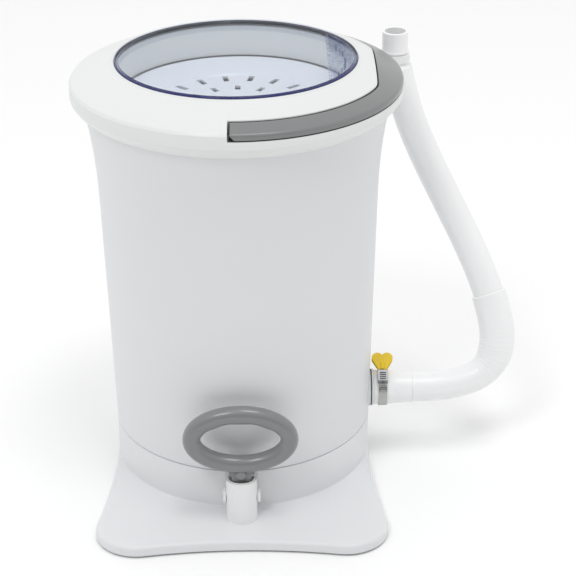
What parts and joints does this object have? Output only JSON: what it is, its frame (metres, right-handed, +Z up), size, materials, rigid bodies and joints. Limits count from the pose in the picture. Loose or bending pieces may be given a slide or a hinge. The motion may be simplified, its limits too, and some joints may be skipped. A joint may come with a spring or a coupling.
{
  "type": "hand-pull spin washer",
  "caption": "Tub-shaped hand-pull spinner with a clear lid, inner basket, pull grip on a recoil cord, folding carry handle, apron base and side drain hose.",
  "frame": {"origin": "on the spin axis at floor level, under the middle of the tub", "axes": "+Z up along the spin axis; the front with the pull grip faces -Y; the drain outlet is on +X"},
  "size_m": [0.4776, 0.382, 0.4782],
  "materials": {
    "body_white": "satin",
    "collar_white": "semi-gloss",
    "cover_grey": "matte",
    "steel": "brushed",
    "band_steel": "brushed",
    "bearing_steel": "ground",
    "rubber": "matte",
    "grey_handle": "satin",
    "grey_grip": "satin",
    "guide_white": "semi-gloss",
    "clear_lid": "clear, moulded",
    "navy_rim": "gloss",
    "basket_white": "semi-gloss",
    "nylon": "matte",
    "cord": "braided",
    "drain_white": "satin",
    "hose_white": "satin",
    "key_yellow": "semi-gloss"
  },
  "bodies": {
    "housing": {"base": "body_white", "bottom_cover": "cover_grey", "bottom_cover_screws": "steel", "rubber_feet": "rubber", "tub": "body_white", "tub_screws": "steel", "shaft_seal": "rubber", "upper_bearing": "bearing_steel", "lower_bearing": "bearing_steel", "collar": "collar_white", "carry_handle_pins": "steel", "gear_frame": "cover_grey", "gear_frame_screws": "steel", "reel_axle": "steel", "spring_housing": "cover_grey", "spring_housing_screws": "steel", "recoil_spring": "steel", "cord_guide": "guide_white", "guide_pulley_axle": "guide_white", "cord_bush": "nylon", "cord_run": "cord", "drain_spigot": "drain_white", "drain_gasket": "rubber", "drain_nut": "drain_white", "hose_cuff": "hose_white", "clamp_band": "band_steel", "clamp_housing": "steel", "drain_hose": "hose_white", "hose_coupling": "hose_white", "hose_end_cuff": "hose_white", "hose_clip": "guide_white"},
    "carry_handle": {"carry_handle": "grey_handle"},
    "lid": {"lid": "clear_lid", "lid_rim": "navy_rim"},
    "basket": {"basket": "basket_white", "basket_shaft": "steel", "basket_nut": "steel", "pinion": "nylon"},
    "inner_cover": {"inner_cover": "basket_white"},
    "drive_gear": {"drive_gear": "nylon", "one_way_clutch": "bearing_steel"},
    "reel": {"reel": "nylon", "reel_cord": "cord"},
    "guide_pulley": {"guide_pulley": "nylon"},
    "pull_grip": {"pull_handle": "grey_grip", "cord_plug": "grey_grip", "pull_cord": "cord"},
    "clamp_key": {"clamp_key": "key_yellow", "clamp_screw": "steel"}
  },
  "joints": [
    {"name": "carry_handle_swing", "type": "hinge", "parent": "housing", "child": "carry_handle", "pos_m": [0.003, 0, 0.46], "axis": [0, -1, 0], "range_deg": [0, 90]},
    {"name": "lid_lift", "type": "slide", "parent": "housing", "child": "lid", "axis": [0, 0, 1], "range_m": [0, 0.25]},
    {"name": "pull_grip_slide", "type": "slide", "parent": "housing", "child": "pull_grip", "axis": [0, -0.2079, 0.9781], "range_m": [0, 0.45], "stiffness_N_per_m": 25, "springref_m": -0.08, "deforming": ["pull_cord"]},
    {"name": "reel_spin", "type": "hinge", "parent": "housing", "child": "reel", "pos_m": [0.03, -0.04, 0.035], "axis": [0, 0, 1], "range_deg": [0, 860]},
    {"name": "guide_pulley_spin", "type": "hinge", "parent": "housing", "child": "guide_pulley", "pos_m": [0, -0.155, 0.043], "axis": [1, 0, 0], "range_deg": [-3224, 0]},
    {"name": "basket_spin", "type": "hinge", "parent": "housing", "child": "basket", "pos_m": [0, 0, 0.1], "axis": [0, 0, 1], "continuous": true},
    {"name": "drive_gear_spin", "type": "hinge", "parent": "housing", "child": "drive_gear", "pos_m": [0.03, -0.04, 0.024], "axis": [0, 0, 1], "continuous": true},
    {"name": "inner_cover_slide", "type": "slide", "parent": "basket", "child": "inner_cover", "axis": [0, 0, 1], "range_m": [-0.2, 0]},
    {"name": "clamp_key_turn", "type": "hinge", "parent": "housing", "child": "clamp_key", "pos_m": [0.157, -0.01213, 0.10542], "axis": [0, 0.848, 0.5299], "range_deg": [-1080, 1080]}
  ],
  "couplings": [
    {"joint": "reel_spin", "follows": "pull_grip_slide", "rad_per_m": 33.333},
    {"joint": "guide_pulley_spin", "follows": "pull_grip_slide", "rad_per_m": -125},
    {"joint": "drive_gear_spin", "follows": "basket_spin", "ratio": -0.33333}
  ]
}
